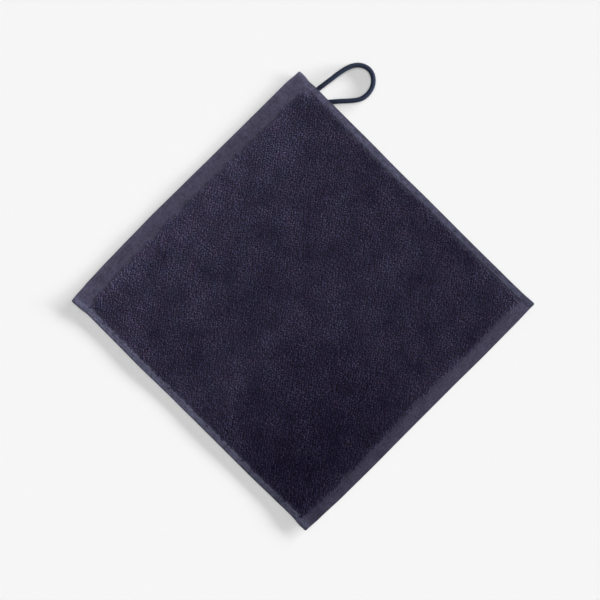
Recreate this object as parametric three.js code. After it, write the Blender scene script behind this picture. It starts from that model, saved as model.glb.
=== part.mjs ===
// A small square terry cloth that lies face up and flat, with a hanging loop of round braided cord.
// Millimetres, +Z up. The origin is on the surface, under the middle of the cloth.
// The wide flat-woven ends lie at the lowest and highest X: the left end and the right end.
// The narrow folded side hems lie at the lowest and highest Y: the front hem and the back hem.

import * as THREE from 'three';

// The rectangle that the cloth just fits in
const LENGTH = 306.1;
const WIDTH = 297.6;

const CORNER_RADIUS = 2.2;
const FIELD_PITCH = 15;

// How far in from an edge its lift dies away
const LIFT_REACH = 30;

// How the edges run. along: the place along the edge, from its middle. inset: how far the edge draws in
// from the rectangle. lift: how high the edge stands off the surface.
const LEFT_END = [
  { along: -148.8, inset: 3.9, lift: 2.4 },
  { along: -138, inset: 2.9, lift: 1.9 },
  { along: -122, inset: 1.9, lift: 1.1 },
  { along: -100, inset: 1.1, lift: 0.7 },
  { along: -70, inset: 0.5, lift: 0.9 },
  { along: -40, inset: 0, lift: 0.5 },
  { along: 0, inset: 0.5, lift: 0.8 },
  { along: 40, inset: 0.9, lift: 0.4 },
  { along: 85, inset: 1.4, lift: 0.7 },
  { along: 130, inset: 1.5, lift: 0.9 },
  { along: 148.8, inset: 2.6, lift: 1.5 },
];

const RIGHT_END = [
  { along: -148.8, inset: 2.4, lift: 2.2 },
  { along: -132, inset: 1.4, lift: 1.4 },
  { along: -100, inset: 0.3, lift: 0.6 },
  { along: -60, inset: 0, lift: 0.4 },
  { along: -20, inset: 0.4, lift: 0.7 },
  { along: 40, inset: 0.4, lift: 0.3 },
  { along: 80, inset: 0.1, lift: 0.6 },
  { along: 120, inset: 0.4, lift: 0.8 },
  { along: 148.8, inset: 1.1, lift: 1.6 },
];

const FRONT_HEM = [
  { along: -153, inset: 0, lift: 2.4 },
  { along: -144, inset: 0.4, lift: 2.1 },
  { along: -133, inset: 1.6, lift: 1.3 },
  { along: -100, inset: 1.4, lift: 0.9 },
  { along: -70, inset: 1.2, lift: 1.2 },
  { along: -20, inset: 1.8, lift: 0.6 },
  { along: 30, inset: 2, lift: 1 },
  { along: 80, inset: 2.1, lift: 0.6 },
  { along: 110, inset: 2.7, lift: 0.9 },
  { along: 135, inset: 3.3, lift: 1.6 },
  { along: 146, inset: 2.4, lift: 2.1 },
  { along: 153, inset: 2.6, lift: 2.2 },
];

const BACK_HEM = [
  { along: -153, inset: 1.6, lift: 1.5 },
  { along: -147, inset: 1.4, lift: 1.2 },
  { along: -140, inset: 2.3, lift: 0.4 },
  { along: -133, inset: 1.8, lift: 0 },
  { along: -104, inset: 1.6, lift: 0 },
  { along: -60, inset: 1.6, lift: 0.6 },
  { along: -25, inset: 1.9, lift: 0.3 },
  { along: 20, inset: 1.6, lift: 0.7 },
  { along: 70, inset: 1.5, lift: 0.3 },
  { along: 120, inset: 1.2, lift: 0.6 },
  { along: 137, inset: 1, lift: 1 },
  { along: 153, inset: 0, lift: 1.6 },
];

// The section of a flat-woven end. from: the distance from the edge. top and under: the heights of the
// upper and lower faces. The hollow at 12.6 is its row of stitches.
const END_SECTION = [
  { from: 0, top: 1.4, under: 0.8 },
  { from: 0.4, top: 1.9, under: 0.4 },
  { from: 1.3, top: 2.15, under: 0.25 },
  { from: 4, top: 2.2, under: 0.2 },
  { from: 11.6, top: 2.15, under: 0.2 },
  { from: 12.6, top: 1.8, under: 0.25 },
  { from: 13.6, top: 2.15, under: 0.15 },
  { from: 14.6, top: 2.7, under: 0 },
  { from: 16.4, top: 3.15, under: 0 },
];

// The section of a side hem. lap: what the hem adds where it crosses a flat-woven end. overCord: the
// height of the upper face where the hem holds an end of the cord. The hollow at 4.7 is its row of stitches.
const HEM_SECTION = [
  { from: 0, top: 1.8, under: 0.9, lap: 0.5, overCord: 4.5 },
  { from: 0.4, top: 2.35, under: 0.45, lap: 0.5, overCord: 4.8 },
  { from: 1.2, top: 2.75, under: 0.2, lap: 0.6, overCord: 4.8 },
  { from: 2.6, top: 2.85, under: 0.15, lap: 0.6, overCord: 4.7 },
  { from: 3.9, top: 2.7, under: 0.15, lap: 0.5, overCord: 4.4 },
  { from: 4.7, top: 2.25, under: 0.2, lap: 0.1, overCord: 3.9 },
  { from: 5.4, top: 2.5, under: 0.1, lap: 0.2, overCord: 3.7 },
  { from: 6.3, top: 2.85, under: 0, lap: 0, overCord: 3.5 },
  { from: 8, top: 3.15, under: 0, lap: 0, overCord: 3.3 },
  { from: 11, top: 3.15, under: 0, lap: 0, overCord: 3.15 },
];

// Broad swells in the height of the pile. length: from crest to crest. heading: in degrees from +X.
const PILE_SWELLS = [
  { length: 118, heading: 24, height: 0.1 },
  { length: 83, heading: 101, height: 0.08 },
  { length: 61, heading: 63, height: 0.06 },
];

// The hanging loop. Its route runs out of the back hem, round, and back into it, as x, y, z rows.
const CORD_DIAMETER = 4.4;
const CORD_SIDES = 10;
const CORD_STEPS = 44;
const CORD_GAP = 0.3;
const CORD_ROUTE = [
  [-127.1, 147.4, 2.5],
  [-126.3, 152.9, 2.9],
  [-125.5, 158.4, 3.3],
  [-124.7, 163.9, 3.6],
  [-124, 169.4, 3.8],
  [-123, 175, 3.8],
  [-121.7, 180.4, 3.6],
  [-119.6, 185.3, 3.2],
  [-116.4, 189.5, 2.7],
  [-112, 192.5, 2.4],
  [-106.8, 193.7, 2.3],
  [-101.6, 192.6, 2.3],
  [-97.1, 189.6, 2.3],
  [-93.8, 185.3, 2.4],
  [-92, 180.1, 2.6],
  [-91.6, 174.7, 2.9],
  [-92.8, 169.4, 3.1],
  [-95.7, 164.5, 3.2],
  [-99.3, 160.2, 3.2],
  [-103.2, 156, 3],
  [-107.1, 151.7, 2.7],
  [-110.9, 147.4, 2.5],
];

const CORD_ENDS = [CORD_ROUTE[0], CORD_ROUTE[CORD_ROUTE.length - 1]];

// How far to each side of the cord the hem is raised by it, and the grid lines that this takes
const CORD_SPREAD = 6;
const CORD_LINES = [-6, -4, -2, 0, 2, 4, 6];

// Points nearer than this are one
const ROUNDING = 0.01;

function mix(low, high, share) {
  return low + (high - low) * share;
}

function ease(share) {
  const held = THREE.MathUtils.clamp(share, 0, 1);
  return held * held * (3 - 2 * held);
}

// The value of one column of a table at a place, eased from row to row
function read(rows, key, place, column) {
  if (place <= rows[0][key]) {
    return rows[0][column];
  }
  for (let i = 1; i < rows.length; i += 1) {
    const before = rows[i - 1];
    const after = rows[i];
    if (place <= after[key]) {
      const share = (place - before[key]) / (after[key] - before[key]);
      return mix(before[column], after[column], ease(share));
    }
  }
  return rows[rows.length - 1][column];
}

// How much the cord's ends raise the back hem at a place along it, from 0 to 1
function cordShare(x) {
  return Math.max(...CORD_ENDS.map(([endX]) => ease(1 - Math.abs(x - endX) / CORD_SPREAD)));
}

// The corners of the rectangle are drawn in to a round
function roundCorner(x, y) {
  const overX = Math.abs(x) - (LENGTH / 2 - CORNER_RADIUS);
  const overY = Math.abs(y) - (WIDTH / 2 - CORNER_RADIUS);
  if (overX <= 0 || overY <= 0) {
    return [x, y];
  }
  const cut = 1 - Math.max(overX, overY) / Math.hypot(overX, overY);
  return [x - Math.sign(x) * overX * cut, y - Math.sign(y) * overY * cut];
}

// Where a point of the rectangle lies once the edges are drawn in
function drawIn(x, y) {
  const [roundX, roundY] = roundCorner(x, y);
  const leftInset = read(LEFT_END, 'along', y, 'inset');
  const rightInset = read(RIGHT_END, 'along', y, 'inset');
  const frontInset = read(FRONT_HEM, 'along', x, 'inset');
  const backInset = read(BACK_HEM, 'along', x, 'inset');
  return [
    roundX + mix(leftInset, -rightInset, x / LENGTH + 0.5),
    roundY + mix(frontInset, -backInset, y / WIDTH + 0.5),
  ];
}

function lift(x, y) {
  const end = x < 0 ? LEFT_END : RIGHT_END;
  const hem = y < 0 ? FRONT_HEM : BACK_HEM;
  const nearEnd = ease(1 - (LENGTH / 2 - Math.abs(x)) / LIFT_REACH);
  const nearHem = ease(1 - (WIDTH / 2 - Math.abs(y)) / LIFT_REACH);
  return mix(read(hem, 'along', x, 'lift') * nearHem, read(end, 'along', y, 'lift'), nearEnd);
}

function swell(x, y) {
  return PILE_SWELLS.reduce((sum, { length, heading, height }) => {
    const turn = THREE.MathUtils.degToRad(heading);
    const way = x * Math.cos(turn) + y * Math.sin(turn);
    return sum + height * Math.sin((2 * Math.PI * way) / length);
  }, 0);
}

// The heights of the upper and lower faces at a point of the rectangle
function heights(x, y) {
  const fromEnd = LENGTH / 2 - Math.abs(x);
  const fromHem = WIDTH / 2 - Math.abs(y);
  const hemTop = read(HEM_SECTION, 'from', fromHem, 'top');
  const endTop = read(END_SECTION, 'from', fromEnd, 'top') + read(HEM_SECTION, 'from', fromHem, 'lap');
  const overCord = read(HEM_SECTION, 'from', fromHem, 'overCord');
  const top = mix(Math.min(hemTop, endTop), overCord, y > 0 ? cordShare(x) : 0);
  const hemUnder = read(HEM_SECTION, 'from', fromHem, 'under');
  const under = Math.max(hemUnder, read(END_SECTION, 'from', fromEnd, 'under'));
  const pile = ease(Math.min(fromEnd, fromHem) / LIFT_REACH);
  const raised = lift(x, y);
  return { top: top + raised + swell(x, y) * pile, under: under + raised };
}

// The grid lines along one side of the rectangle: close together over both rims, even between them
function gridLines(size, section, extra) {
  const rims = section.flatMap(({ from }) => [from - size / 2, size / 2 - from]);
  const lines = [...rims, ...extra].sort((a, b) => a - b);
  return lines.flatMap((line, i) => {
    const gap = i === 0 ? 0 : line - lines[i - 1];
    const parts = Math.max(1, Math.round(gap / FIELD_PITCH));
    return Array.from({ length: parts }, (_, part) => line - gap * (1 - (part + 1) / parts));
  });
}

// The cloth starts as a flat box with a point at each crossing of the grid lines, on both its faces
function makeCloth() {
  const besideCord = CORD_ENDS.flatMap(([endX]) => CORD_LINES.map((offset) => endX + offset));
  const columns = gridLines(LENGTH, END_SECTION, besideCord);
  const rows = gridLines(WIDTH, HEM_SECTION, []);
  const lastColumn = columns.length - 1;
  const lastRow = rows.length - 1;
  const geometry = new THREE.BoxGeometry(lastColumn, lastRow, 1, lastColumn, lastRow, 1);
  const position = geometry.attributes.position;
  for (let i = 0; i < position.count; i += 1) {
    const x = columns[Math.round(position.getX(i) + lastColumn / 2)];
    const y = rows[Math.round(position.getY(i) + lastRow / 2)];
    const [placeX, placeY] = drawIn(x, y);
    const { top, under } = heights(x, y);
    position.setXYZ(i, placeX, placeY, position.getZ(i) > 0 ? top : under);
  }
  geometry.computeVertexNormals();
  const material = new THREE.MeshStandardMaterial({ color: 0x2d2a3c, roughness: 0.95, metalness: 0 });
  const cloth = new THREE.Mesh(geometry, material);
  cloth.name = 'cloth';
  return cloth;
}

// An end face of the cord is cut along the hem that it goes into, a small gap away from it
function cutAlongHem(geometry, end, heading) {
  const face = new THREE.Vector3(...end);
  const hem = WIDTH / 2 - read(BACK_HEM, 'along', face.x, 'inset') + CORD_GAP;
  const position = geometry.attributes.position;
  const point = new THREE.Vector3();
  for (let i = 0; i < position.count; i += 1) {
    point.fromBufferAttribute(position, i);
    if (point.distanceTo(face) < CORD_DIAMETER / 2 + ROUNDING) {
      point.addScaledVector(heading, (hem - point.y) / heading.y);
      position.setXYZ(i, point.x, point.y, point.z);
    }
  }
}

function makeHangingLoop() {
  const centre = new THREE.Vector2();
  const around = Array.from({ length: CORD_SIDES }, (_, side) => {
    const turn = (2 * Math.PI * side) / CORD_SIDES;
    return new THREE.Vector2(CORD_DIAMETER / 2, 0).rotateAround(centre, turn);
  });
  const route = new THREE.CatmullRomCurve3(CORD_ROUTE.map((point) => new THREE.Vector3(...point)));
  const options = { steps: CORD_STEPS, extrudePath: route, bevelEnabled: false };
  const geometry = new THREE.ExtrudeGeometry(new THREE.Shape(around), options);
  cutAlongHem(geometry, CORD_ENDS[0], route.getTangentAt(0));
  cutAlongHem(geometry, CORD_ENDS[1], route.getTangentAt(1));
  geometry.computeVertexNormals();
  const material = new THREE.MeshStandardMaterial({ color: 0x232c3c, roughness: 0.7, metalness: 0 });
  const loop = new THREE.Mesh(geometry, material);
  loop.name = 'hanging_loop';
  return loop;
}

const towel = new THREE.Group();
towel.add(makeCloth(), makeHangingLoop());

export default towel;
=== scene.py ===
"""A small square terry cloth that lies face up and flat, with a hanging loop of round braided cord.

Shapes are worked out in millimetres, +Z up, and made in metres. The wide flat-woven ends lie at the lowest
and highest X: the left end and the right end. The narrow folded side hems lie at the lowest and highest Y:
the front hem and the back hem.
"""

import math

import bpy
import numpy as np
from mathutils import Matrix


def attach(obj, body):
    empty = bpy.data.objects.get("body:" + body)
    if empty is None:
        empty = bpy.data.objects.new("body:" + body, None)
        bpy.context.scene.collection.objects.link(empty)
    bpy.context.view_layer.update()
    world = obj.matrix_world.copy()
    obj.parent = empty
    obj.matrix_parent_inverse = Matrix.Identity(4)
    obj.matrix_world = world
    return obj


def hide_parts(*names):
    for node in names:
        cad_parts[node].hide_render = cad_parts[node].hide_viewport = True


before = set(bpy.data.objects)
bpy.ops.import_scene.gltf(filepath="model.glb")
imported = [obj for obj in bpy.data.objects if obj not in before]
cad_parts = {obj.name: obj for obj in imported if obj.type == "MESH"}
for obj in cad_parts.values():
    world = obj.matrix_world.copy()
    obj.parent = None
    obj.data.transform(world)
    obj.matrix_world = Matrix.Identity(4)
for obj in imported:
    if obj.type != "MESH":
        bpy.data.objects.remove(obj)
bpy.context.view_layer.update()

MILLIMETRE = 0.001
UP = np.array([0, 0, 1.0])

# The rectangle that the cloth just fits in
LENGTH = 306.6
WIDTH = 298.1
CORNER_RADIUS = 1.4

# How far in from an edge its lift dies away
LIFT_REACH = 30

# How the edges run. along: the place along the edge, from its middle. inset: how far the edge draws in
# from the rectangle. lift: how high the edge stands off the surface. width: how wide the end or the hem is,
# as a share of its section.
LEFT_END = {
    "along": (-148.8, -138, -122, -100, -70, -40, 0, 40, 85, 130, 148.8),
    "inset": (3.9, 2.9, 1.9, 1.1, 0.6, 0.1, 0.5, 0.9, 1.3, 1.4, 2.6),
    "lift": (2.4, 1.9, 1.1, 0.7, 0.9, 0.5, 0.8, 0.4, 0.7, 0.9, 1.5),
    "width": (1, 1, 1, 1.01, 0.99, 1, 1.01, 1, 1.01, 1.02, 1),
}
RIGHT_END = {
    "along": (-148.8, -132, -100, -60, -20, 40, 80, 120, 148.8),
    "inset": (2.4, 1.4, 0.3, 0, 0.3, 0.3, 0, 0.3, 1),
    "lift": (2.2, 1.4, 0.6, 0.4, 0.7, 0.3, 0.6, 0.8, 1.6),
    "width": (0.74, 0.71, 0.72, 0.76, 0.81, 0.83, 0.83, 0.82, 0.82),
}
FRONT_HEM = {
    "along": (-153, -144, -133, -100, -70, -20, 30, 80, 110, 135, 146, 153),
    "inset": (0, 0.5, 1.7, 1.5, 1.3, 1.95, 2.2, 2.2, 2.8, 3.4, 2.5, 2.7),
    "lift": (2.4, 2.1, 1.3, 0.9, 1.2, 0.6, 1, 0.6, 0.9, 1.6, 2.1, 2.2),
    "width": (1, 1, 1, 1.02, 1, 0.98, 0.97, 0.97, 0.96, 0.96, 0.98, 1),
}
BACK_HEM = {
    "along": (-153, -147, -140, -133, -104, -60, -25, 20, 70, 120, 137, 153),
    "inset": (1.6, 1.3, 2.1, 1.7, 1.5, 1.45, 1.75, 1.4, 1.4, 1.1, 0.9, 0),
    "lift": (1.5, 1.2, 0.4, 0, 0, 0.6, 0.3, 0.7, 0.3, 0.6, 1, 1.6),
    "width": (1, 1, 1.03, 1.06, 1.18, 1.28, 1.27, 1.1, 1.12, 1.1, 1.06, 1),
}

# The heights of the weave's two faces under the pile, where the sections below both stop
GROUND_TOP = 1.75
GROUND_UNDER = 1.25

# The section of a flat-woven end. from: the distance from the edge. top and under: the heights of the
# weave's two faces. left and right: how light it is at that end, as painted light and shade: the left end's
# rim is painted lighter, and the right end, which faces the key light, is painted darker, most of all at its
# rim. END_STITCHES: where its stitches run.
END_STITCHES = 12.6
END_SECTION = {
    "from": (0, 0.2, 0.5, 0.9, 1.4, 2.4, 4, 7.5, 11.4, 12.6, 13.8, 15, 17, 20),
    "top": (1.35, 1.65, 1.95, 2.1, 2.2, 2.25, 2.2, 2.15, 2.15, 2.02, 1.95, 1.85, GROUND_TOP, GROUND_TOP),
    "under": (
        0.85, 0.6, 0.4, 0.3, 0.25, 0.2, 0.2, 0.2, 0.2, 0.5, 1.1, GROUND_UNDER, GROUND_UNDER, GROUND_UNDER,
    ),
    "left": (1.1, 1.25, 1.38, 1.42, 1.36, 1.16, 1.04, 1, 0.98, 0.95, 0.97, 1, 1, 1),
    "right": (0.35, 0.4, 0.5, 0.7, 0.86, 0.88, 0.88, 0.86, 0.84, 0.8, 0.78, 0.75, 0.75, 0.75),
}

# The section of a side hem. lap: what the hem adds where it crosses a flat-woven end. over_cord: the
# height of the upper face where the hem holds an end of the cord. front and back: how light it is, as
# painted
# light and shade: the front hem is painted lighter towards its rim, and the back hem, which faces the key
# light, is painted darker at its rim and lighter further in.
# HEM_STITCHES: where its stitches run.
HEM_STITCHES = 4.7
HEM_SECTION = {
    "from": (0, 0.2, 0.5, 0.9, 1.4, 2.2, 3.1, 3.9, 4.4, 4.7, 5.1, 5.6, 6.3, 8, 11),
    "top": (1.7, 2.15, 2.5, 2.68, 2.76, 2.8, 2.8, 2.8, 2.76, 2.7, 2.68, 2.55, 2.2, 1.8, GROUND_TOP),
    "under": (1, 0.7, 0.45, 0.3, 0.2, 0.15, 0.15, 0.2, 0.4, 0.5, 0.6, 0.9, 1.2, GROUND_UNDER, GROUND_UNDER),
    "lap": (0.5, 0.5, 0.5, 0.6, 0.6, 0.6, 0.6, 0.5, 0.3, 0.2, 0.2, 0.1, 0, 0, 0),
    "over_cord": (3.5, 3.7, 3.8, 3.85, 3.85, 3.8, 3.7, 3.6, 3.4, 3.2, 2.95, 2.6, 2.2, 1.85, GROUND_TOP),
    "front": (1.1, 1.2, 1.35, 1.45, 1.42, 1.36, 1.28, 1.22, 1.15, 1.1, 1, 0.95, 0.9, 0.85, 0.85),
    "back": (0.5, 0.6, 0.72, 0.95, 1.25, 1.4, 1.42, 1.45, 1.45, 1.42, 1.35, 1.25, 1.1, 1, 1),
}

# The back left corner is folded flat: its upper face is at least this high, over this reach from this place
FLAT_CORNER = (-133, 141)
FLAT_REACH = 9
FLAT_TOP = 2.45

# Where a woven end and a side hem give way to what lies further in, by their own sections
END_GIVES_WAY = (18, 14)
HEM_GIVES_WAY = (6.2, 5.2)

# Painted shade along the woven edges: the right end darkens towards the front hem, and both side hems darken
# towards the right end. The first value is for their middle, and the second is what each millimetre more of
# X or Y adds.
RIGHT_END_TONE = (1.05, 0.0015)
FRONT_HEM_TONE = (1, -0.0025)
BACK_HEM_TONE = (1, -0.0012)

# The hems are darker by HEM_DIP beside the left end, up to the start of the fade and dying away over its
# reach. CORNER_HEM_SHARE: how much of a hem's tone the corners take.
HEM_DIP = 0.15
HEM_DIP_FADE = (14 - LENGTH / 2, 14)
CORNER_HEM_SHARE = 0.35

# The hems have a dye of their own, which ends this far in. The back hem has only a share of it at its left.
HEM_DYE_ENDS = (7, 6)
HEM_DYE_FADES = (-70, -120)
HEM_DYE_LEFT = 0.2

# How light the pile is before its patches, with painted light and shade. Painted light makes it lighter by
# LEFT_GLOW at the left, which dies away over LEFT_GLOW_REACH, and it is lighter beside both ends. Painted
# shade makes it darker towards the right end, where each millimetre more of Y takes some of that away, and
# darker again where the right end meets the front hem.
PILE_TONE = 0.93
LEFT_GLOW = 0.68
LEFT_GLOW_FROM = -140
LEFT_GLOW_REACH = 32
END_GLOW = {"left": 0.28, "right": 0.25}
END_GLOW_FADE = (14, 6)
RIGHT_SHADE = (0.16, -0.0011)
RIGHT_SHADE_RISES = (25, 100)
CORNER_SHADE = 0.25
CORNER_SHADE_X = (5, 33)
CORNER_SHADE_Y = (25, -25)

# Broad patches where the weave and the pile are lighter or darker than the rest. Each has its middle as x
# and y, its reach, and how much lighter it is.
WEAVE_PATCHES = (
    (-148, 142, 13, 0.34),
    (150, 144, 14, 0.22),
    # A painted highlight on the stitches at the tip of the front right corner
    (149, -144, 5, 0.3),
    (150, -133, 7, -0.22),
    (136, -146, 8, 0.38),
    (2, -146, 10, 0.28),
    (45, -146, 10, 0.2),
    (-146, -148, 7, 0.3),
)
PILE_PATCHES = (
    (-120, 128, 11, -0.35),
    (-42, -112, 22, -0.2),
    (-42, 10, 24, -0.14),
    (-2, 56, 20, -0.08),
    (60, 118, 15, -0.1),
    (30, -30, 22, -0.07),
    (92, -30, 9, 0.24),
    (-134, -82, 10, -0.16),
    (-100, -92, 10, 0.13),
    (90, 112, 9, -0.13),
    (50, 50, 9, -0.13),
    (126, -12, 10, 0.3),
    (-131, -127, 8, -0.3),
    (-33, -40, 9, -0.24),
    (58, 134, 8, -0.24),
    (-126, 139, 6, 0.25),
)

# Broad swells in the height of the pile, and small puckers in the woven edges. length: from crest to crest.
# heading: in degrees from +X. The puckers rise over PUCKER_RISE from the edge, and die away over
# PUCKER_REACH.
PILE_SWELLS = {"length": (118, 83, 61), "heading": (24, 101, 63), "height": (0.1, 0.08, 0.06)}
EDGE_PUCKERS = {
    "length": (17, 11.3, 7.9, 6.1, 9.2),
    "heading": (12, 81, 47, 118, 158),
    "height": (0.07, 0.06, 0.05, 0.035, 0.05),
}
PUCKER_REACH = 18
PUCKER_RISE = 3

# No point of the weave is lower than this.
LOWEST = 0.02

# The lines of the weave's mesh: their pitch in the field, how far in from a hem's edge they lie, and how far
# along the hem from the middle of an end of the cord
FIELD_PITCH = 2.9
HEM_LINES = (0, 0.2, 0.5, 0.9, 1.4, 2.1, 2.8, 3.5, 4.1, 4.6, 5.1, 5.6, 6.1, 6.7, 7.4, 8.2, 9.2, 11)
CORD_LINES = (-7, -5.5, -4, -3, -2, -1, 0, 1, 2, 3, 4, 5.5, 7)

# Where the pile lies. Its corners are round, most of all at the back left, and its rim wanders, but less
# and less within WANDER_REACH of the hems. RAGGED: how far in from the rim the loops are thinned out.
# FIELD_REACH: how far in the weave has changed to the look that it has between the loops.
PILE_FROM_END = 14.2
PILE_FROM_HEM = 5.3
PILE_CORNERS = {"back left": 12, "back right": 6, "front": 3}
PILE_WANDER = {"length": (31, 19, 12.5), "heading": (84, 41, 150), "height": (0.3, 0.4, 0.3)}
WANDER_REACH = 8
RAGGED = 3
FIELD_REACH = 5

# The pile is made in four strips between these values of X.
STRIP_BORDERS = np.linspace(11 - LENGTH / 2, LENGTH / 2 - 9, 5)

# The loops on the upper face stand in rows, run mostly along X, and lean towards the highest X. JITTER: how
# far each may be out of its row's place, as a share of the pitch. LOOP_TURN: how much the headings of the
# loops differ, in radians.
PILE_TOP = 3.15
PILE_PITCH = (2.8, 1.85)
JITTER = 0.25
LOOP_TURN = 0.8
LEAN_X = 0.35
LEAN_SPREAD = 0.15

# Each loop is one tube: a foot below the weave, a shoulder, two rings at the crown, a shoulder and a foot.
# A value whose name ends in SHARES is a range that each loop draws its own share from. SHOULDER_SPAN: how
# far apart the shoulders are, as a share of the span.
LOOP_SPAN = 1.4
SPAN_SHARES = (0.8, 1.2)
HEIGHT_SHARES = (0.85, 1.1)
SHOULDER_SPAN = 1.2
SHOULDER_SPREAD = 0.2
SHOULDER_SHARES = (0.66, 0.84)
ROOT_DEPTH = 0.35
YARN_RADIUS = 0.8
YARN_SHARES = (0.9, 1.1)
LOOP_TAPER = (0.65, 0.95, 1, 1, 0.95, 0.65)
LOOP_SIDES = 4

# The loops at the rim have only this share of the height, which grows to the whole over this reach.
RIM_HEIGHT = 0.5
RIM_REACH = 4

# The loops on the lower face, which the cloth presses flat. UNDER_HEIGHTS: how far from the surface the
# middles of their tips are.
UNDER_PITCH = (3.6, 3)
UNDER_SPAN = 1.6
UNDER_HEIGHTS = (0.88, 1.12)
UNDER_RADIUS = 0.88
UNDER_SIDES = 3

# How much the loops differ in how light they are, and how dark the darkest may be. GROUND_TONE: how light
# the weave is between the loops, as a share of theirs: painted shade in the hollows between the loops.
LOOP_DYES = 0.09
DARKEST_LOOP = 0.1
GROUND_TONE = 0.54

# The ribs of the flat weave, and the stitches. A row starts and stops a margin short of the cloth's edges.
# STITCH_BOW: how high a stitch is in its middle. STITCH_DIVE: how steeply it curves down from there.
# THREAD_TONE: how light the thread is, as a share of the weave that it is sewn into.
RIB_PITCH = 1.2
STITCH_PITCH = 2.8
STITCH_LENGTH = 2.3
STITCH_RINGS = 5
STITCH_SLANT = 0.12
STITCH_BOW = 0.16
STITCH_DIVE = 2.6
END_ROW_MARGIN = 6
HEM_ROW_MARGINS = (3, 2)
THREAD_RADIUS = 0.25
THREAD_SIDES = 4
THREAD_TONE = 0.86
THREAD_SPREAD = 0.05

# The hanging loop. Its route runs out of the back hem, round, and back into it, as x, y, z rows.
# CORD_ENDS: where along the hem it comes out and goes in. ROUTE_STEPS: how finely each of its steps is
# rounded.
CORD_DIAMETER = 4.4
CORD_ROUTE = (
    (-127.1, 147.4, 2),
    (-126.3, 152.9, 2.8),
    (-125.5, 158.4, 3.3),
    (-124.7, 163.9, 3.6),
    (-124, 169.4, 3.8),
    (-123, 175, 3.8),
    (-121.7, 180.4, 3.6),
    (-119.6, 185.3, 3.2),
    (-116.4, 189.5, 2.7),
    (-112, 192.5, 2.4),
    (-106.8, 193.7, 2.3),
    (-101.6, 192.6, 2.3),
    (-97.1, 189.6, 2.3),
    (-93.8, 185.3, 2.4),
    (-92, 180.1, 2.6),
    (-91.6, 174.7, 2.9),
    (-92.8, 169.4, 3.1),
    (-95.7, 164.5, 3.2),
    (-99.3, 160.2, 3.2),
    (-103.2, 156, 3),
    (-107.1, 151.7, 2.6),
    (-110.9, 147.4, 2),
)
CORD_ENDS = (CORD_ROUTE[0][0], CORD_ROUTE[-1][0])
ROUTE_STEPS = 24

# Each end of the cord runs this far on into the hem, this much lower, and pressed to this share of its
# height. CORD_SPREAD: how far the hem that it raises, and its flattening, take to die away.
CORD_ROOT = 3.2
CORD_DIP = 0.2
CORD_FLAT = 0.5
CORD_SPREAD = 6

# The braid. STRAND_CROSSING: how much a strand stands out where it crosses over another. RELIEF_LEVEL: the
# relief that lies at the cord's own radius. CORD_TONE: how light the cord is at no relief, and how much
# lighter for each one more, but never under DARKEST_CORD: painted shade in the grooves between the strands.
CORD_RINGS = 250
CORD_SIDES = 48
CORD_STRANDS = 6
STRAND_PITCH = 2.9
STRAND_CROSSING = 0.7
STRAND_RELIEF = 0.18
RELIEF_LEVEL = 1.4
CORD_TONE = (-0.4, 0.85)
DARKEST_CORD = 0.05

# How a tube's faces share its cell of the map: its walls in the middle, and its two caps beside them
WALL_U = (0.1, 0.9)
WALL_V = (0.05, 0.95)
CAP_U = (0.05, 0.95)
CAP_V = 0.5
CAP_REACH = (0.03, 0.4)


def mix(low, high, share):
    return low + (high - low) * share


def step(place, start, stop):
    """0 up to the start, 1 from the stop on, and a smooth rise between them."""
    share = np.clip((place - start) / (stop - start), 0, 1)
    return share * share * (3 - 2 * share)


def fade(place, start, reach):
    """1 up to the start, and dying away beyond it."""
    return np.exp(-np.maximum(place - start, 0) / reach)


def slope(line, place):
    """A value that changes evenly. line: the value at 0, and what each one more adds."""
    return line[0] + line[1] * place


def read(table, key, place, column):
    """The value of one column of a table at each place, eased from row to row."""
    stops = np.array(table[key], float)
    values = np.array(table[column], float)
    held = np.clip(place, stops[0], stops[-1])
    after = np.clip(np.searchsorted(stops, held), 1, len(stops) - 1)
    return mix(values[after - 1], values[after], step(held, stops[after - 1], stops[after]))


def waves(table, x, y):
    """The sum of a table's waves at each point."""
    total = 0
    for length, heading, height in zip(table["length"], table["heading"], table["height"]):
        turn = math.radians(heading)
        way = x * math.cos(turn) + y * math.sin(turn)
        total = total + height * np.sin(2 * math.pi * way / length)
    return total


def near(middle_x, middle_y, reach, x, y):
    """A soft round spot: 1 in its middle, and dying away over its reach."""
    return np.exp(-(np.hypot(x - middle_x, y - middle_y) ** 2) / (2 * reach**2))


def from_edges(x, y):
    """How far points of the rectangle are from the nearer end, and from the nearer side hem."""
    return LENGTH / 2 - np.abs(x), WIDTH / 2 - np.abs(y)


def along_edges(column, x, y):
    """One column of the left end, the right end, the front hem and the back hem, level with each point."""
    return (
        read(LEFT_END, "along", y, column),
        read(RIGHT_END, "along", y, column),
        read(FRONT_HEM, "along", x, column),
        read(BACK_HEM, "along", x, column),
    )


def in_end(x, y):
    """The place across the nearer flat-woven end, as its section gives it."""
    left, right, _, _ = along_edges("width", x, y)
    return from_edges(x, y)[0] / np.where(x > 0, right, left)


def in_hem(x, y):
    """The place across the nearer side hem, as its section gives it."""
    _, _, front, back = along_edges("width", x, y)
    return from_edges(x, y)[1] / np.where(y < 0, front, back)


def draw_in(x, y):
    """Where points of the rectangle lie once its corners are round and its edges are drawn in."""
    over_x = np.abs(x) - (LENGTH / 2 - CORNER_RADIUS)
    over_y = np.abs(y) - (WIDTH / 2 - CORNER_RADIUS)
    rounded = (over_x > 0) & (over_y > 0)
    reach = np.where(rounded, np.hypot(over_x, over_y), 1)
    cut = np.where(rounded, 1 - np.maximum(over_x, over_y) / reach, 0)
    left, right, front, back = along_edges("inset", x, y)
    return (
        x - np.sign(x) * over_x * cut + mix(left, -right, x / LENGTH + 0.5),
        y - np.sign(y) * over_y * cut + mix(front, -back, y / WIDTH + 0.5),
    )


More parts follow.
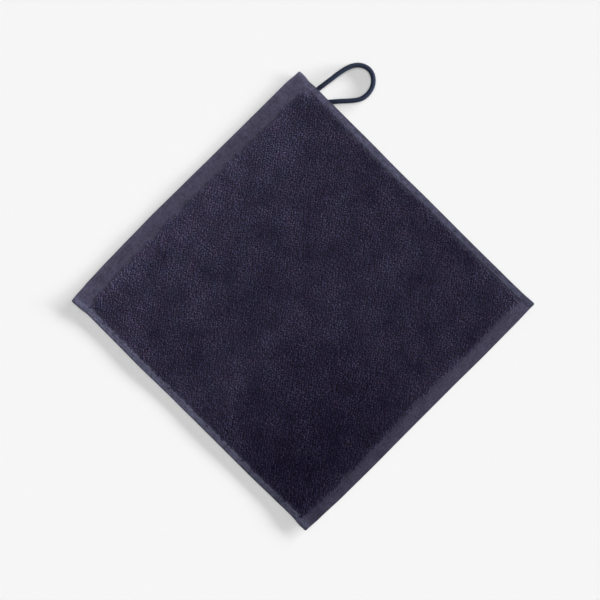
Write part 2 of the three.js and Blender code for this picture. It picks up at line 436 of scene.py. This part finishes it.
def lift(x, y):
    """How high the cloth stands off the surface."""
    from_end, from_hem = from_edges(x, y)
    left, right, front, back = along_edges("lift", x, y)
    hem_lift = np.where(y < 0, front, back) * step(from_hem, LIFT_REACH, 0)
    return mix(hem_lift, np.where(x < 0, left, right), step(from_end, LIFT_REACH, 0))


def cord_share(x, y):
    """How much the ends of the cord raise the back hem, from 0 to 1."""
    raised = np.maximum(*(step(np.abs(x - end), CORD_SPREAD, 0) for end in CORD_ENDS))
    return np.where(y > 0, raised, 0)


def pile_depth(x, y):
    """How far inside the pile's rounded rectangle each point is. It is below zero outside."""
    from_end = in_end(x, y) - PILE_FROM_END
    from_hem = in_hem(x, y) - PILE_FROM_HEM
    back = np.where(x < 0, PILE_CORNERS["back left"], PILE_CORNERS["back right"])
    round_by = np.where(y > 0, back, PILE_CORNERS["front"])
    in_round = (from_end < round_by) & (from_hem < round_by)
    cut = round_by - np.hypot(round_by - from_end, round_by - from_hem)
    wander = waves(PILE_WANDER, x, y) * step(from_hem, 0, WANDER_REACH)
    return np.where(in_round, cut, np.minimum(from_end, from_hem)) + wander


def in_corner(x, y, hem, end, corner):
    """One value of those for a side hem, for a flat-woven end, and for a corner where the two cross."""
    end_share = step(in_end(x, y), *END_GIVES_WAY)
    hem_share = step(in_hem(x, y), *HEM_GIVES_WAY)
    return mix(hem, mix(end, corner, hem_share), end_share)


def weave_heights(x, y):
    """The heights of the weave's upper and lower faces."""
    hem_top, hem_under, lap, over_cord = (
        read(HEM_SECTION, "from", in_hem(x, y), column) for column in ("top", "under", "lap", "over_cord")
    )
    end_top, end_under = (
        read(END_SECTION, "from", in_end(x, y), column) for column in ("top", "under")
    )
    top = in_corner(x, y, hem_top, end_top, np.minimum(hem_top, end_top + lap))
    top = mix(top, np.maximum(top, FLAT_TOP), near(*FLAT_CORNER, FLAT_REACH, x, y))
    under = in_corner(x, y, hem_under, end_under, np.maximum(hem_under, end_under))
    nearest = np.minimum(*from_edges(x, y))
    swell = waves(PILE_SWELLS, x, y) * step(nearest, 0, LIFT_REACH)
    pucker = waves(EDGE_PUCKERS, x, y) * step(nearest, PUCKER_REACH, 0) * step(nearest, 0, PUCKER_RISE)
    raised = lift(x, y) + swell
    return (
        mix(top, over_cord, cord_share(x, y)) + raised + pucker,
        np.maximum(under + raised + pucker / 2, LOWEST),
    )


def patches(rows, x, y):
    """How much lighter the broad patches make each point."""
    return sum(
        lighter * near(middle_x, middle_y, reach, x, y) for middle_x, middle_y, reach, lighter in rows
    )


def pile_tone(x, y):
    """Painted light and shade: the pile is lightest at the left, darkest where the right end meets the front
    hem.
    """
    towards_left = LEFT_GLOW * np.exp((LEFT_GLOW_FROM - x) / LEFT_GLOW_REACH)
    beside_end = fade(in_end(x, y), *END_GLOW_FADE) * np.where(x < 0, END_GLOW["left"], END_GLOW["right"])
    towards_right = step(x, *RIGHT_SHADE_RISES) * slope(RIGHT_SHADE, y)
    front_right = CORNER_SHADE * step(x, *CORNER_SHADE_X) * step(y, *CORNER_SHADE_Y)
    tone = PILE_TONE + towards_left + beside_end - front_right - towards_right
    return tone * (1 + patches(PILE_PATCHES, x, y))


def weave_tone(x, y):
    """How light the weave is, with painted light and shade: the side hems darken towards the right and fade
    into the left end, and the weave between the loops of the pile is painted dark.
    """
    left, right = (read(END_SECTION, "from", in_end(x, y), column) for column in ("left", "right"))
    front, back = (read(HEM_SECTION, "from", in_hem(x, y), column) for column in ("front", "back"))
    end = np.where(x < 0, left, right * slope(RIGHT_END_TONE, y))
    hem = np.where(y < 0, front * slope(FRONT_HEM_TONE, x), back * slope(BACK_HEM_TONE, x))
    dipped = hem * (1 - HEM_DIP * fade(x, *HEM_DIP_FADE))
    woven = in_corner(x, y, dipped, end, mix(end, hem, CORNER_HEM_SHARE))
    woven = woven * (1 + patches(WEAVE_PATCHES, x, y))
    # Painted shade: between the loops of the pile the weave is darker.
    return mix(woven, GROUND_TONE * pile_tone(x, y), step(pile_depth(x, y), 0, FIELD_REACH))


def hem_dye_share(x, y):
    """How much of the hems' own dye the weave takes."""
    kept = mix(1, HEM_DYE_LEFT, step(x, *HEM_DYE_FADES) * (y > 0))
    return step(in_hem(x, y), *HEM_DYE_ENDS) * kept


def grid_lines(size, low_rim, high_rim, extra=()):
    """Lines across the rectangle: close together over both rims, even between them."""
    low_lines = [place - size / 2 for place in low_rim]
    high_lines = [size / 2 - place for place in high_rim]
    lines = sorted([*low_lines, *high_lines, *extra])
    made = [np.array(lines[:1])]
    for before, after in zip(lines, lines[1:]):
        parts = max(1, round((after - before) / FIELD_PITCH))
        made.append(np.linspace(before, after, parts + 1)[1:])
    return np.concatenate(made)


def finish_piece(piece, material):
    """Gives a piece its material and its place on the cloth's one body."""
    piece.data.materials.clear()
    piece.data.materials.append(material)
    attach(piece, "root")


def write_floats(mesh, name, values):
    attribute = mesh.attributes.new(name, "FLOAT", "POINT")
    attribute.data.foreach_set("value", np.asarray(values, np.float32))


def write_map(mesh, name, places):
    layer = mesh.uv_layers.new(name=name)
    layer.data.foreach_set("uv", np.asarray(places, np.float32).ravel())


def make_weave(material):
    """The woven sheet: a grid made thick, with its points moved to the two faces."""
    beside_cord = [end + offset for end in CORD_ENDS for offset in CORD_LINES]
    end_lines = np.array(END_SECTION["from"])
    columns = grid_lines(LENGTH, end_lines, end_lines * np.mean(RIGHT_END["width"]), beside_cord)
    rows = grid_lines(WIDTH, HEM_LINES, HEM_LINES)
    bpy.ops.mesh.primitive_grid_add(
        x_subdivisions=len(columns) - 1, y_subdivisions=len(rows) - 1, size=2
    )
    piece = bpy.context.object
    piece.name = "cloth_weave"
    bpy.ops.object.mode_set(mode="EDIT")
    bpy.ops.mesh.select_all(action="SELECT")
    bpy.ops.mesh.extrude_region_move(TRANSFORM_OT_translate={"value": (0, 0, 1)})
    bpy.ops.object.mode_set(mode="OBJECT")
    bpy.ops.object.shade_smooth()
    mesh = piece.data
    points = np.zeros(len(mesh.vertices) * 3, np.float32)
    mesh.vertices.foreach_get("co", points)
    points = points.reshape(-1, 3)
    x = columns[np.rint((points[:, 0] + 1) / 2 * (len(columns) - 1)).astype(int)]
    y = rows[np.rint((points[:, 1] + 1) / 2 * (len(rows) - 1)).astype(int)]
    place_x, place_y = draw_in(x, y)
    top, under = weave_heights(x, y)
    placed = np.stack([place_x, place_y, np.where(points[:, 2] > 0.5, top, under)], 1)
    mesh.vertices.foreach_set("co", (placed * MILLIMETRE).astype(np.float32).ravel())
    write_floats(mesh, "tone", weave_tone(x, y))
    write_floats(mesh, "pile", step(pile_depth(x, y), 0, FIELD_REACH))
    write_floats(mesh, "hem", hem_dye_share(x, y))
    corners = np.zeros(len(mesh.loops), np.int32)
    mesh.loops.foreach_get("vertex_index", corners)
    while mesh.uv_layers:
        mesh.uv_layers.remove(mesh.uv_layers[0])
    write_map(mesh, "Weave", np.stack([x, y], 1)[corners])
    mesh.update()
    finish_piece(piece, material)
    return piece


def unit(vectors):
    return vectors / np.linalg.norm(vectors, axis=-1, keepdims=True)


def sweep(paths, radii, sides, outward):
    """The points, faces and map of closed tubes along paths, one row of points for each ring.

    The first point of each ring is on its outward side. Each tube has a cell of the map to itself.
    """
    tubes, rings = paths.shape[:2]
    along = unit(np.gradient(paths, axis=1))
    first = unit(outward - (outward * along).sum(-1, keepdims=True) * along)
    second = np.cross(along, first)
    turn = 2 * math.pi * np.arange(sides) / sides
    across = np.cos(turn)[:, None] * first[:, :, None] + np.sin(turn)[:, None] * second[:, :, None]
    points = paths[:, :, None] + across * np.broadcast_to(radii, (tubes, rings, sides))[..., None]
    number = np.arange(tubes * rings * sides).reshape(tubes, rings, sides)
    beside = np.roll(number, -1, 2)
    walls = np.stack([number[:, :-1], beside[:, :-1], beside[:, 1:], number[:, 1:]], -1)
    caps = np.stack([number[:, 0, ::-1], number[:, -1]], 1)
    ring, side = np.meshgrid(np.arange(rings - 1), np.arange(sides), indexing="ij")
    wall_u = mix(*WALL_U, np.stack([ring, ring, ring + 1, ring + 1], -1) / (rings - 1))
    wall_v = mix(*WALL_V, np.stack([side, side + 1, side + 1, side], -1) / sides)
    cap_turns = np.stack([turn[::-1], turn])
    cap_u = np.array(CAP_U)[:, None] + CAP_REACH[0] * np.cos(cap_turns)
    cap_v = CAP_V + CAP_REACH[1] * np.sin(cap_turns)
    cells = math.ceil(math.sqrt(tubes))
    corner = np.stack([np.arange(tubes) % cells, np.arange(tubes) // cells], 1)
    wall_map = np.stack([wall_u, wall_v], -1).reshape(1, -1, 2)
    cap_map = np.stack([cap_u, cap_v], -1).reshape(1, -1, 2)
    places = [(corner[:, None] + cell_map).reshape(-1, 2) for cell_map in (wall_map, cap_map)]
    faces = walls.reshape(-1, 4).tolist() + caps.reshape(-1, sides).tolist()
    return points.reshape(-1, 3), faces, np.concatenate(places) / cells


def make_tubes(name, paths, radii, sides, outward, tones, material):
    """One piece of many tubes. tones: how light they are, as one value for each tube or for each point."""
    points, faces, places = sweep(paths, radii, sides, outward)
    mesh = bpy.data.meshes.new(name)
    mesh.from_pydata(points * MILLIMETRE, [], faces)
    mesh.polygons.foreach_set("use_smooth", [True] * len(mesh.polygons))
    write_floats(mesh, "tone", np.repeat(tones, len(points) // len(tones)))
    write_map(mesh, "OFBake", places)
    mesh.update()
    piece = bpy.data.objects.new(name, mesh)
    bpy.context.scene.collection.objects.link(piece)
    finish_piece(piece, material)
    return piece


def smooth_route(route, count):
    """Evenly spread points on a smooth curve through the route's points, and the curve's length."""
    given = np.array(route)
    ends = (2 * given[0] - given[1], 2 * given[-1] - given[-2])
    padded = np.vstack([ends[0], given, ends[1]])
    share = np.linspace(0, 1, ROUTE_STEPS, endpoint=False)[:, None]
    pieces = []
    for a, b, c, d in zip(padded, padded[1:], padded[2:], padded[3:]):
        cubic = (3 * b - 3 * c + d - a) * share + (2 * a - 5 * b + 4 * c - d)
        pieces.append(b + ((cubic * share) + (c - a)) * share / 2)
    fine = np.vstack([*pieces, given[-1]])
    run = np.concatenate([[0], np.cumsum(np.linalg.norm(np.diff(fine, axis=0), axis=1))])
    even = np.linspace(0, run[-1], count)
    return np.stack([np.interp(even, run, fine[:, axis]) for axis in range(3)], 1), run[-1]


def braid(run, turn):
    """The relief of a round braid: strands that wind both ways, over and under each other."""
    one = CORD_STRANDS * turn / (2 * math.pi) + run / STRAND_PITCH
    other = CORD_STRANDS * turn / (2 * math.pi) - run / STRAND_PITCH
    crown_one = 1 - (2 * (other - np.floor(other)) - 1) ** 2
    crown_other = 1 - (2 * (one - np.floor(one)) - 1) ** 2
    over = np.sin(math.pi * (one + np.floor(other)))
    under = -np.sin(math.pi * (other + np.floor(one)))
    return np.maximum(crown_one + STRAND_CROSSING * over, crown_other + STRAND_CROSSING * under)


def root(end, beside):
    """Where the cord stops inside the hem. beside: the route's point next to that end."""
    level_way = (np.array(end) - np.array(beside)) * (1, 1, 0)
    return np.array(end) + CORD_ROOT * unit(level_way) - CORD_DIP * UP


def make_cord(material):
    """The hanging loop, with both of its ends flattened inside the hem."""
    roots = [root(*CORD_ROUTE[:2]), root(*CORD_ROUTE[:-3:-1])]
    path, length = smooth_route([roots[0], *CORD_ROUTE, roots[1]], CORD_RINGS)
    run = np.linspace(0, length, CORD_RINGS)[:, None]
    turn = 2 * math.pi * np.arange(CORD_SIDES)[None] / CORD_SIDES
    relief = braid(run, turn)
    from_root = np.minimum(run, length - run)
    flat = mix(1, CORD_FLAT, step(from_root, CORD_ROOT + CORD_SPREAD, CORD_ROOT))
    radii = CORD_DIAMETER / 2 + STRAND_RELIEF * (relief - RELIEF_LEVEL)
    radii = radii / np.hypot(np.cos(turn) / flat, np.sin(turn))
    # Painted shade: the braid is darker where its relief is low, in the grooves between the strands.
    tones = np.maximum(slope(CORD_TONE, relief), DARKEST_CORD).ravel()
    piece = make_tubes(
        "cord_braid", path[None], radii[None], CORD_SIDES, UP, tones, material
    )
    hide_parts("hanging_loop")


def plant(rng, low, high, pitch):
    """Places for loops between two values of X, in jittered rows, inside the pile's ragged rim."""
    columns = np.arange(low + pitch[0] / 2, high, pitch[0])
    rows = np.arange(-WIDTH / 2, WIDTH / 2, pitch[1])
    x, y = np.meshgrid(columns, rows)
    stagger = 0.5 * (np.arange(len(rows))[:, None] % 2)
    x = x + pitch[0] * (rng.uniform(-JITTER, JITTER, x.shape) + stagger)
    y = y + pitch[1] * rng.uniform(-JITTER, JITTER, y.shape)
    kept = pile_depth(x, y) > RAGGED * rng.uniform(0, 1, x.shape)
    return x[kept], y[kept]


def level(headings):
    """The level way of each heading."""
    return np.stack([np.cos(headings), np.sin(headings), np.zeros(len(headings))], 1)


def loop_tones(rng, x, y):
    """Each loop takes the painted light and shade of the pile's tone, and the dye a little differently."""
    return np.maximum(pile_tone(x, y) + rng.normal(0, LOOP_DYES, x.shape), DARKEST_LOOP)


def grow_pile(name, seed, low, high, material):
    """Loops of yarn that stand on the upper face."""
    rng = np.random.default_rng(seed)
    x, y = plant(rng, low, high, PILE_PITCH)
    count = len(x)
    place_x, place_y = draw_in(x, y)
    ground, _ = weave_heights(x, y)
    full = mix(RIM_HEIGHT, 1, step(pile_depth(x, y), 0, RIM_REACH))
    tall = (PILE_TOP - GROUND_TOP - YARN_RADIUS) * full * rng.uniform(*HEIGHT_SHARES, count)
    headings = rng.normal(0, LOOP_TURN, count)
    way = level(headings)
    side = level(headings + math.pi / 2)
    lean = rng.normal(0, LEAN_SPREAD, (count, 3)) * (1, 1, 0) + (LEAN_X, 0, 0)
    half = LOOP_SPAN / 2 * way * rng.uniform(*SPAN_SHARES, count)[:, None]
    bulge = SHOULDER_SPAN * half + side * rng.normal(0, SHOULDER_SPREAD, count)[:, None]
    foot = np.stack([place_x, place_y, ground - ROOT_DEPTH], 1)
    crown = foot + lean + UP * (ROOT_DEPTH + tall)[:, None]
    shoulders = [mix(foot, crown, rng.uniform(*SHOULDER_SHARES, count)[:, None]) for _ in range(2)]
    paths = [
        foot - half,
        shoulders[0] - bulge,
        crown - half / 2,
        crown + half / 2,
        shoulders[1] + bulge,
        foot + half,
    ]
    outward = [-way, UP - way, UP - way / 4, UP + way / 4, UP + way, way]
    tones = loop_tones(rng, x, y)
    radii = YARN_RADIUS * rng.uniform(*YARN_SHARES, (count, 1, 1)) * np.array(LOOP_TAPER)[:, None]
    return make_tubes(
        name, np.stack(paths, 1), radii, LOOP_SIDES, np.stack(outward, 1), tones, material
    )


def grow_under_pile(name, seed, low, high, material):
    """Flattened loops on the lower face, which the cloth lies on."""
    rng = np.random.default_rng(seed)
    x, y = plant(rng, low, high, UNDER_PITCH)
    count = len(x)
    place_x, place_y = draw_in(x, y)
    _, ground = weave_heights(x, y)
    way = level(rng.normal(0, LOOP_TURN, count))
    half = UNDER_SPAN / 2 * way
    foot = np.stack([place_x, place_y, ground + ROOT_DEPTH], 1)
    tip = foot.copy()
    tip[:, 2] = lift(x, y) + rng.uniform(*UNDER_HEIGHTS, count)
    paths = np.stack([foot - half, tip, foot + half], 1)
    outward = np.stack([-way, np.broadcast_to(-UP, way.shape), way], 1)
    tones = loop_tones(rng, x, y)
    return make_tubes(name, paths, UNDER_RADIUS, UNDER_SIDES, outward, tones, material)


def stitch_rows():
    """The middle of each stitch, and the way it runs."""
    along_end = np.arange(END_ROW_MARGIN - WIDTH / 2, WIDTH / 2 - END_ROW_MARGIN, STITCH_PITCH)
    left_x = END_STITCHES * read(LEFT_END, "along", along_end, "width") - LENGTH / 2
    right_x = LENGTH / 2 - END_STITCHES * read(RIGHT_END, "along", along_end, "width")
    low_margin, high_margin = HEM_ROW_MARGINS
    along_hem = np.arange(low_margin - LENGTH / 2, LENGTH / 2 - high_margin, STITCH_PITCH)
    front_y = HEM_STITCHES * read(FRONT_HEM, "along", along_hem, "width") - WIDTH / 2
    back_y = WIDTH / 2 - HEM_STITCHES * read(BACK_HEM, "along", along_hem, "width")
    rows = [(place, along_end, 0, 1) for place in (left_x, right_x)]
    rows += [(along_hem, place, 1, 0) for place in (front_y, back_y)]
    x, y = (np.concatenate([row[part] for row in rows]) for part in (0, 1))
    way_x, way_y = (
        np.concatenate([np.full(len(row[0]), row[part]) for row in rows]) for part in (2, 3)
    )
    return x, y, way_x, way_y


def sew(name, face, material):
    """Short stitches in the hollows, which dive into the weave at both ends."""
    rng = np.random.default_rng(5)
    x, y, way_x, way_y = stitch_rows()
    share = np.linspace(-0.5, 0.5, STITCH_RINGS)
    slant = rng.normal(0, STITCH_SLANT, (len(x), 1))
    along_x = x[:, None] + STITCH_LENGTH * share * way_x[:, None] + slant * share * way_y[:, None]
    along_y = y[:, None] + STITCH_LENGTH * share * way_y[:, None] + slant * share * way_x[:, None]
    place_x, place_y = draw_in(along_x, along_y)
    top, under = weave_heights(along_x, along_y)
    bow = STITCH_BOW - STITCH_DIVE * share**2
    height = top + bow if face == "top" else np.maximum(under - bow, THREAD_RADIUS)
    paths = np.stack([place_x, place_y, height], -1)
    # The thread takes the weave's tone, with its painted light and shade.
    tones = weave_tone(x, y) * rng.normal(THREAD_TONE, THREAD_SPREAD, len(x))
    return make_tubes(name, paths, THREAD_RADIUS, THREAD_SIDES, UP, tones, material)


class Value:
    """A number that a material works out, for sums written as Python expressions."""

    def __init__(self, recipe, socket):
        self.recipe = recipe
        self.socket = socket

    def maths(self, operation, first, second):
        return self.recipe.add("ShaderNodeMath", {"operation": operation}, {0: first, 1: second})

    def __add__(self, other):
        return self.maths("ADD", self, other)

    def __sub__(self, other):
        return self.maths("SUBTRACT", self, other)

    def __rsub__(self, other):
        return self.maths("SUBTRACT", other, self)

    def __mul__(self, other):
        return self.maths("MULTIPLY", self, other)

    __radd__ = __add__
    __rmul__ = __mul__


class Recipe:
    """The nodes of one material."""

    def __init__(self, name):
        self.material = bpy.data.materials.new(name)
        self.material.use_nodes = True
        self.nodes = self.material.node_tree.nodes
        self.links = self.material.node_tree.links
        self.shader = self.nodes["Principled BSDF"]

    def fill(self, node, inputs):
        for name, given in inputs.items():
            if isinstance(given, Value):
                self.links.new(given.socket, node.inputs[name])
            else:
                node.inputs[name].default_value = given

    def add(self, kind, settings, inputs, output=0):
        node = self.nodes.new(kind)
        for name, setting in settings.items():
            setattr(node, name, setting)
        self.fill(node, inputs)
        return Value(self, node.outputs[output])

    def attribute(self, name):
        return self.add("ShaderNodeAttribute", {"attribute_name": name}, {}, "Fac")

    def noise(self, vector, scale, detail=2):
        return self.add("ShaderNodeTexNoise", {}, {"Vector": vector, "Scale": scale, "Detail": detail})

    def ribs(self, vector, direction, pitch):
        """Ribs this far apart. At a scale of 1, a wave texture has its bands pi / 10 apart."""
        settings = {"wave_type": "BANDS", "bands_direction": direction}
        inputs = {"Vector": vector, "Scale": math.pi / 10 / pitch, "Distortion": 0.8, "Detail Scale": 0.5}
        return self.add("ShaderNodeTexWave", settings, inputs)

    def blend(self, share, low, high):
        """A colour between two. Sockets 6 and 7 of a Mix node are its colours, and output 2 is the blend."""
        settings = {"data_type": "RGBA"}
        return self.add("ShaderNodeMix", settings, {0: share, 6: low, 7: high}, 2)

    def bump(self, height, distance, strength):
        inputs = {"Height": height, "Distance": distance, "Strength": strength}
        return self.add("ShaderNodeBump", {}, inputs)

    def finish(self, inputs):
        self.fill(self.shader, inputs)
        return self.material

    def finish_cotton(self, colour, roughness, normal, sheen, gloss=0):
        """Matt cotton, with the same soft sheen in every material."""
        return self.finish(
            {
                "Base Color": colour,
                "Roughness": roughness,
                "Normal": normal,
                "Sheen Weight": sheen,
                "Sheen Roughness": SHEEN_ROUGHNESS,
                "Sheen Tint": SHEEN_TINT,
                "Specular IOR Level": gloss,
            }
        )


BLACK = (0, 0, 0, 1)
WOVEN_DYE = (0.19, 0.176, 0.286, 1)
HEM_DYE = (0.168, 0.178, 0.272, 1)
DEEP_DYE = (0.002, 0, 0.01, 1)
PILE_DYES = ((0.153, 0.15, 0.267, 1), (0.181, 0.146, 0.263, 1))
CORD_DYE = (0.048, 0.0645, 0.115, 1)
THREAD_DYES = ((0.35, 0.34, 0.575, 1), (0.37, 0.34, 0.575, 1))
SHEEN_TINT = (0.6, 0.6, 1, 1)
SHEEN_ROUGHNESS = 0.4


def woven_cotton():
    """The weave: ribbed and flecked at its edges, and tufted between the loops of the pile, where its tone
    holds painted shade.
    """
    recipe = Recipe("woven_cotton")
    place = recipe.add("ShaderNodeUVMap", {"uv_map": "Weave"}, {})
    body = recipe.add("ShaderNodeTexCoord", {}, {}, "Object")
    tone = recipe.attribute("tone")
    hem = recipe.attribute("hem")
    pile = recipe.attribute("pile")
    mottle = recipe.noise(body, 130, 3)
    flecks = recipe.noise(body, 480)
    drift = recipe.noise(body, 55)
    tufts = recipe.noise(body, 700, 1)
    ribs_x = recipe.ribs(place, "X", RIB_PITCH)
    ribs_y = recipe.ribs(place, "Y", RIB_PITCH)
    ribs = ribs_x * (0.5 + 0.3 * hem) + ribs_y * (0.5 - 0.3 * hem)
    woven = 0.3 + 0.34 * mottle + (0.62 + 0.4 * hem) * (flecks - 0.5) + 0.13 * ribs
    shade = tone * (woven * (1 - pile) + pile * (1.4 * tufts - 0.15)) * 0.5
    height = (ribs * 0.6 + flecks * 0.4) * (1 - pile) + pile * tufts * 3
    dye = recipe.blend(hem * (0.1 + 1.1 * drift), WOVEN_DYE, HEM_DYE)
    return recipe.finish_cotton(
        colour=recipe.blend(shade, BLACK, dye),
        roughness=0.85 + 0.1 * flecks,
        normal=recipe.bump(height, 0.0003, 0.5),
        sheen=0.05,
    )


def yarn(name, dyes, fibres, bump):
    """Spun cotton: fine fibres, and a slow drift between lighter and darker and between two dyes."""
    recipe = Recipe(name)
    body = recipe.add("ShaderNodeTexCoord", {}, {}, "Object")
    tone = recipe.attribute("tone")
    drift = recipe.noise(body, 40, 1)
    flecks = recipe.noise(body, fibres)
    tufts = recipe.noise(body, 600, 0)
    blotch = recipe.noise(body, 110, 1)
    shade = tone * (1.1 * drift + 0.7 * tufts + 0.2 * flecks - 0.28) * 0.3
    dye = recipe.blend(3 * blotch - 1, *dyes)
    return recipe.finish_cotton(
        colour=recipe.blend(shade, DEEP_DYE, dye),
        roughness=0.85 + 0.1 * flecks,
        normal=recipe.bump(flecks, 0.0002, bump),
        sheen=0.03,
    )


def braided_cord():
    """Fine fibres over the strands, which the cord's shape has."""
    recipe = Recipe("braided_cord")
    body = recipe.add("ShaderNodeTexCoord", {}, {}, "Object")
    tone = recipe.attribute("tone")
    flecks = recipe.noise(body, 1400)
    drift = recipe.noise(body, 80)
    shade = tone * (0.55 + 0.2 * flecks + 0.2 * drift)
    return recipe.finish_cotton(
        colour=recipe.blend(shade, BLACK, CORD_DYE),
        roughness=0.7 + 0.15 * flecks,
        normal=recipe.bump(flecks, 0.0002, 0.35),
        sheen=0.05,
        gloss=0.05,
    )


# The studio. The camera looks straight down, with the back left corner of the cloth at the top.
CAMERA_AIM = (-2.1, -0.45)
CAMERA_HEIGHT = 1529
CAMERA_TURN = 45
CAMERA_LENS = 100
CAMERA_SENSOR = 36

# The key light is a low row of suns. KEY_SHADOWS: how far towards the lowest X and Y each one throws the
# shadow of what is one high. The rest of the light comes from straight above and from all round. BACKDROP:
# how bright the sky is where the camera sees it.
KEY_SHADOWS = ((0, 4.4), (1.1, 4.4), (2.2, 4.4), (3.3, 4.4), (4.4, 4.4))
KEY_SPREAD = 9.5
KEY_LIGHT = 0.254
TOP_SPREAD = 50
TOP_POWER = 2.0
SKY_POWER = 0.113
BACKDROP = 0.88
FLOOR_SIZE = 40
FLOOR_GREY = 0.8


def set_camera():
    place = [CAMERA_AIM[0], CAMERA_AIM[1], CAMERA_HEIGHT]
    bpy.ops.object.camera_add(
        location=[value * MILLIMETRE for value in place], rotation=(0, 0, math.radians(CAMERA_TURN))
    )
    camera = bpy.context.object
    camera.data.lens = CAMERA_LENS
    camera.data.sensor_width = CAMERA_SENSOR
    bpy.context.scene.camera = camera


def add_sun(shadow_x, shadow_y, spread, light):
    """A sun that throws shadows this long, and lights the level floor with this much."""
    reach = math.hypot(shadow_x, shadow_y)
    turn = (0, math.atan(reach), math.atan2(shadow_y, shadow_x))
    bpy.ops.object.light_add(type="SUN", rotation=turn)
    sun = bpy.context.object.data
    sun.angle = math.radians(spread)
    sun.energy = light * math.hypot(reach, 1)


def light_studio():
    for shadow_x, shadow_y in KEY_SHADOWS:
        add_sun(shadow_x, shadow_y, KEY_SPREAD, KEY_LIGHT)
    add_sun(0, 0, TOP_SPREAD, TOP_POWER)
    world = bpy.data.worlds.new("studio")
    world.use_nodes = True
    nodes = world.node_tree.nodes
    path = nodes.new("ShaderNodeLightPath")
    power = nodes.new("ShaderNodeMix")
    power.inputs[2].default_value = SKY_POWER
    power.inputs[3].default_value = BACKDROP
    world.node_tree.links.new(path.outputs["Is Camera Ray"], power.inputs[0])
    world.node_tree.links.new(power.outputs[0], nodes["Background"].inputs["Strength"])
    nodes["Background"].inputs["Color"].default_value = (1, 1, 1, 1)
    bpy.context.scene.world = world
    bpy.context.scene.view_settings.view_transform = "Standard"


def lay_floor():
    bpy.ops.mesh.primitive_plane_add(size=FLOOR_SIZE)
    floor = bpy.context.object
    floor.name = "floor"
    recipe = Recipe("pale_floor")
    grey = (FLOOR_GREY, FLOOR_GREY, FLOOR_GREY, 1)
    paint = {"Base Color": grey, "Roughness": 1, "Specular IOR Level": 0}
    floor.data.materials.append(recipe.finish(paint))


bpy.ops.object.select_all(action="DESELECT")
set_camera()
make_cord(braided_cord())
light_studio()
lay_floor()

terry = yarn("terry_yarn", PILE_DYES, fibres=1500, bump=0.3)
thread = yarn("sewing_thread", THREAD_DYES, fibres=2500, bump=0.2)
weave = make_weave(woven_cotton())
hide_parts("cloth")
on_cloth = [
    grow_pile("pile_left", 11, *STRIP_BORDERS[0:2], terry),
    grow_pile("pile_left_middle", 12, *STRIP_BORDERS[1:3], terry),
    grow_pile("pile_right_middle", 13, *STRIP_BORDERS[2:4], terry),
    grow_pile("pile_right", 14, *STRIP_BORDERS[3:5], terry),
    grow_under_pile("under_pile_left", 15, STRIP_BORDERS[0], STRIP_BORDERS[2], terry),
    grow_under_pile("under_pile_right", 16, STRIP_BORDERS[2], STRIP_BORDERS[4], terry),
    sew("stitches", "top", thread),
    sew("under_stitches", "under", thread),
]
